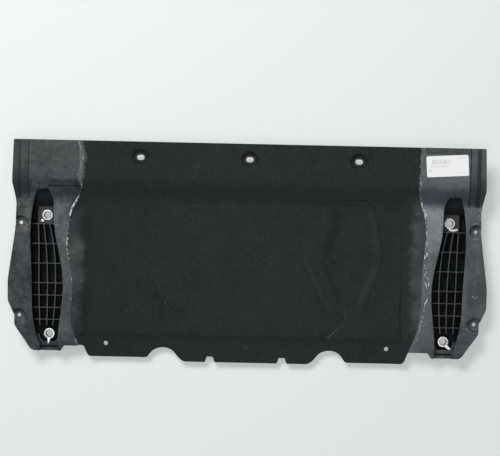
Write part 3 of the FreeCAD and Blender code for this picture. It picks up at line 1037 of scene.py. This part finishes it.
def drop(nets, x, y):
    """Height of the highest surface at a plan point, or None beside all of them."""
    heights = []
    for net in nets:
        hit = net.ray_cast(Vector((x, y, RAY_START)), Vector((0, 0, -1)))[0]
        if hit is not None:
            heights.append(hit.z)
    return max(heights) if heights else None


wing_nets = {side: ray_net(wings[side]) for side in wings}
all_nets = ray_net(panel, *wings.values(), *bush_pairs.values())
print("strip height", round(drop(all_nets, 0.44, 0.20), 4), "field", round(drop(all_nets, 0.0, 0.0), 4))

# %% [markdown]
# ## Film along the joint
# Where the plastic was moulded over the felt, a thin ragged film crept out along the joint, and it has
# gone whitish. It starts as a long grid, one row for every two millimetres of the joint. Each row finds
# the wing's edge by halving an interval, spreads by an uneven amount to both sides and drops onto what is
# below. On the right wing the lower half of the film lies a little away from the edge, and is broader for
# a stretch. The film is part of the moulding, so it is joined to the wing's object.

# %% Find the joint
JOINT_SEARCH = (330 * MM, 430 * MM)
HALVINGS = 14


def joint_x(side, y):
    """Distance of the wing's inner edge from the middle of the guard at one height of the plan."""
    beside, over = JOINT_SEARCH
    for _ in range(HALVINGS):
        middle = (beside + over) / 2
        if drop(wing_nets[side], SIGN[side] * middle, y) is None:
            beside = middle
        else:
            over = middle
    return over


print("joint in the middle", {side: round(joint_x(side, 0.0), 4) for side in wings})

# %% Spread of the film
FILM_SEED = {"left": 9.2, "right": 3.7}
FILM_FINE, FILM_COARSE = 210, 38
FILM_ON_FELT, FILM_ON_WING = 1.0 * MM, 1.5 * MM
FILM_LEAST = (0.2 * MM, 0.5 * MM)
FILM_STRIP = (148 * MM, 162 * MM)
STRIP_ON_FELT = 1.6 * MM
STRIP_ON_WING = {"left": 13.0 * MM, "right": 8.0 * MM}
FILM_SLOPE, SLOPE_REACH = 96 * MM, 36 * MM
SCATTER_LOW, SCATTER_HIGH = (-85 * MM, -62 * MM), (22 * MM, 2 * MM)
SCATTER = {"left": (0.0, 0.0), "right": (4.0 * MM, 1.5 * MM)}
# Pairs of place along the joint and distance from the wing's edge, in millimetres.
FILM_DRIFT = {
    "left": [(-250, 0), (250, 0)],
    "right": [(-250, 6), (-186, 6), (-154, 4.5), (-108, 8), (-92, 13.5), (-63, 14), (-39, 9.7), (-7, 6.5),
              (25, 3), (60, 0), (250, 0)]}


def between_points(points, y):
    """Value at y on straight stretches between points, all in millimetres."""
    for (first_y, first), (last_y, last) in zip(points, points[1:]):
        if y <= last_y * MM:
            return (first + (last - first) * (y / MM - first_y) / (last_y - first_y)) * MM
    return points[-1][1] * MM


def film_reach(side, y):
    """How far the film spreads from its line towards the felt and over the wing."""
    fine = noise.noise(Vector((y * FILM_FINE, FILM_SEED[side], 0)))
    coarse = noise.noise(Vector((y * FILM_COARSE, FILM_SEED[side], 7)))
    strip = share_between(*FILM_STRIP, y)
    slope = max(0.0, 1 - abs(y - FILM_SLOPE) / SLOPE_REACH)
    scatter = share_between(*SCATTER_LOW, y) * share_between(*SCATTER_HIGH, y)
    over_felt = FILM_ON_FELT * (1 + 1.3 * fine + 0.5 * coarse)
    over_felt += strip * STRIP_ON_FELT * (1 + 1.2 * fine + coarse)
    over_felt += scatter * SCATTER[side][0] * (1 - 0.5 * fine)
    over_wing = FILM_ON_WING * (1 + 0.5 * coarse - 0.6 * fine + slope * (2.0 + fine))
    over_wing += strip * STRIP_ON_WING[side] * (0.8 + 0.5 * coarse)
    over_wing += scatter * SCATTER[side][1] * (1 + 0.5 * fine)
    return max(FILM_LEAST[0], over_felt), max(FILM_LEAST[1], over_wing)


print("spread on the strip", {side: [round(v, 4) for v in film_reach(side, 0.2)] for side in wings})

# %% Lay the film on the joint
FILM_ROWS, FILM_COLUMNS = 230, 7
FILM_ENDS = (-213.5 * MM, 246.3 * MM)
FILM_LIFT = 0.12 * MM
FILM_SHEET = 0.10 * MM
FILM_SMOOTH = 50


def lay_film(side):
    deselect()
    bpy.ops.mesh.primitive_grid_add(x_subdivisions=FILM_COLUMNS, y_subdivisions=FILM_ROWS, size=1)
    film = bpy.context.object
    film.name = side + "_flash"
    low, high = FILM_ENDS
    rows = {}
    for vertex in film.data.vertices:
        across, along = vertex.co.x + 0.5, round(vertex.co.y + 0.5, 5)
        if along not in rows:
            y = low + (high - low) * along
            line = joint_x(side, y) + between_points(FILM_DRIFT[side], y)
            rows[along] = (y, line, *film_reach(side, y))
        y, line, over_felt, over_wing = rows[along]
        x = SIGN[side] * (line - over_felt + across * (over_felt + over_wing))
        vertex.co = (x, y, drop(all_nets, x, y) + FILM_LIFT)
    face_outwards(film)
    thicken(film, "film", FILM_SHEET)
    smooth(film, FILM_SMOOTH)
    film.data.materials.append(flash)
    return film


for side, wing in wings.items():
    choose(lay_film(side), wing)
    bpy.ops.object.join()
    print(side, "wing with its film", len(wing.data.polygons), "faces", [m.name for m in wing.data.materials])

# %% [markdown]
# ## Label
# A paper label is stuck on the right wing. Here it is plain paper with a few faint grey bars that say
# nothing. A plane gets rounded corners and a fine net, lies down on the wing with the slight cockle of
# paper, and gets the thickness of paper.

# %% Label paper
LABEL_MIDDLE = (442.9 * MM, 206.8 * MM)
LABEL_SIZE = (94 * MM, 47 * MM)
LABEL_TURN = math.radians(3.3)
PAPER_PLAIN = grey(0.86)
PAPER_PALE = grey(0.91, (1.0, 1.0, 0.99))
PRINT_GREY = grey(0.22)
# Limits across and up as shares of the label, and the share of grey.
BARS = (0.12, 0.56, 0.60, 0.82, 0.42)
RULES = [
    (0.07, 0.50, 0.47, 0.51, 0.30), (0.70, 0.94, 0.84, 0.88, 0.24), (0.70, 0.94, 0.15, 0.19, 0.24),
    (0.07, 0.13, 0.25, 0.35, 0.30)]


def paper_finish():
    finish = Finish("label_paper")
    middle = (-LABEL_MIDDLE[0], -LABEL_MIDDLE[1], 0.0)
    moved = finish.node("ShaderNodeVectorMath", {"operation": "ADD"}, {0: finish.place(), 1: middle})
    turned = finish.node("ShaderNodeMapping", {}, {"Vector": moved, "Rotation": (0.0, 0.0, -LABEL_TURN)})
    u = finish.node("ShaderNodeSeparateXYZ", {}, {0: turned}, "X") * (1 / LABEL_SIZE[0]) + 0.5
    v = finish.node("ShaderNodeSeparateXYZ", {}, {0: turned}, "Y") * (1 / LABEL_SIZE[1]) + 0.5

    def patch(u_low, u_high, v_low, v_high, share):
        return u.above(u_low) * u.below(u_high) * v.above(v_low) * v.below(v_high) * share

    uneven = finish.node("ShaderNodeTexNoise", {"noise_dimensions": "1D"}, {"W": u, "Scale": 46.0})
    print_share = patch(*BARS) * uneven.above(0.5) + sum(patch(*rule) for rule in RULES)
    tooth = finish.noise(900.0, 3.0)
    paper = finish.blend(finish.noise(40.0, 3.0), PAPER_PLAIN, PAPER_PALE)
    colour = finish.blend(print_share, paper, PRINT_GREY)
    return finish.finish(Base_Color=colour, Roughness=0.55, Normal=finish.bump(tooth, 0.03 * MM, 0.4))


paper = paper_finish()
print("label paper", len(paper.node_tree.nodes), "nodes")

# %% Label
LABEL_CORNER, CORNER_SEGMENTS = 3.5 * MM, 5
LABEL_PITCH = 5.875 * MM
LABEL_SHEET = 0.14 * MM
COCKLE, COCKLE_SCALE, COCKLE_SEED = 0.12 * MM, 60, 2.0
LABEL_SMOOTH = 40

deselect()
bpy.ops.mesh.primitive_plane_add(size=1)
label = bpy.context.object
label.name = "label"
edit(label)
bpy.ops.transform.resize(value=(*LABEL_SIZE, 1))
bpy.ops.mesh.bevel(offset=LABEL_CORNER, offset_pct=0, segments=CORNER_SEGMENTS, affect="VERTICES")
leave_edit()
half = Vector(LABEL_SIZE) / 2
cut_net(label, net_lines(-half, half, LABEL_PITCH))
stuck = Matrix.Translation((*LABEL_MIDDLE, 0)) @ Matrix.Rotation(LABEL_TURN, 4, "Z")
label.data.transform(stuck)
for vertex in label.data.vertices:
    x, y = vertex.co.xy
    swell = 0.5 + 0.5 * noise.noise(Vector((x * COCKLE_SCALE, y * COCKLE_SCALE, COCKLE_SEED)))
    vertex.co.z = drop(all_nets, x, y) + LABEL_SHEET + COCKLE * swell
thicken(label, "paper", LABEL_SHEET)
smooth(label, LABEL_SMOOTH)
label.data.materials.append(paper)
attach(label, "root")
print("label", len(label.data.polygons), "faces")

# %% [markdown]
# ## Paint marks
# Someone marked each tightened bush with a brush of white paint. Each mark is a grid that follows a short
# path from the bush, tapers like a brush stroke and swells in the middle as wet paint does. The two lower
# marks bridge the narrow gap between the bush's flange and the edge of its well.

# %% Paths of the brush
# Each mark: its side, its bush, the path from the bush's middle, the half width and the taper.
STROKES = {
    "left_upper_mark": ("left", UPPER_BUSH, [(10.0, -10.0), (11.0, -12.6), (11.6, -15.2)], 3.3, 0.0),
    "left_lower_mark": (
        "left", LOWER_BUSH, [(0.4, -10.0), (0.6, -14.0), (0.9, -18.5), (1.2, -22.8)], 3.3, 0.65),
    "right_upper_mark": (
        "right", UPPER_BUSH, [(0.5, -10.5), (0.2, -14.0), (4.5, -15.6), (11.0, -15.4), (19.0, -13.0)],
        2.4, 0.0),
    "right_lower_mark": ("right", LOWER_BUSH, [(5.0, -8.4), (10.0, -12.5), (15.4, -17.0)], 3.1, 0.2)}


def along_path(points, share):
    """Point on a smooth line through the points, as share goes from 0 to 1."""
    spans = len(points) - 1
    span = min(int(share * spans), spans - 1)
    t = share * spans - span
    before, first = points[max(span - 1, 0)], points[span]
    last, after = points[span + 1], points[min(span + 2, spans)]
    bend = 2 * before - 5 * first + 4 * last - after
    twist = 3 * first - before - 3 * last + after
    return (2 * first + (last - before) * t + bend * t * t + twist * t ** 3) / 2


print("marks", list(STROKES))

# %% Strokes of paint
STROKE_ROWS, STROKE_COLUMNS = 22, 9
STROKE_CROWN = 0.7 * MM
STROKE_LIFT = 0.1 * MM
STROKE_COAT = 0.15 * MM
STROKE_TIP = 0.05
STROKE_SMOOTH = 60
RAGGED, RAGGED_SCALE = 0.25, 400
LOOK_AROUND = 0.02


def paint_stroke(name, side, bush, path, half_width, taper):
    points = [Vector((SIGN[side] * (bush[0] + x), bush[1] + y)) * MM for x, y in path]
    first_z, last_z = (drop(all_nets, *points[index]) for index in (0, -1))
    deselect()
    bpy.ops.mesh.primitive_grid_add(x_subdivisions=STROKE_COLUMNS, y_subdivisions=STROKE_ROWS, size=1)
    stroke = bpy.context.object
    stroke.name = name
    for vertex in stroke.data.vertices:
        across, share = 2 * vertex.co.x, vertex.co.y + 0.5
        here = along_path(points, share)
        behind, ahead = max(share - LOOK_AROUND, 0), min(share + LOOK_AROUND, 1)
        way = along_path(points, ahead) - along_path(points, behind)
        aside = Vector((-way.y, way.x)).normalized()
        end = math.sqrt(max(0.0, 1 - (2 * share - 1) ** 4))
        ragged = 1 + RAGGED * noise.noise(Vector((here.x * RAGGED_SCALE, here.y * RAGGED_SCALE, across)))
        width = half_width * MM * max(end, STROKE_TIP) * ragged * (1 - taper * share)
        spot = here + aside * across * width
        crown = STROKE_CROWN * end * math.sqrt(max(0.0, 1 - across * across))
        bridge = first_z + (last_z - first_z) * share
        vertex.co = (spot.x, spot.y, max(bridge, drop(all_nets, spot.x, spot.y)) + STROKE_LIFT + crown)
    face_outwards(stroke)
    thicken(stroke, "coat", STROKE_COAT)
    smooth(stroke, STROKE_SMOOTH)
    stroke.data.materials.append(paint)
    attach(stroke, "root")
    return stroke


for name, stroke_facts in STROKES.items():
    print(name, len(paint_stroke(name, *stroke_facts).data.polygons), "faces")
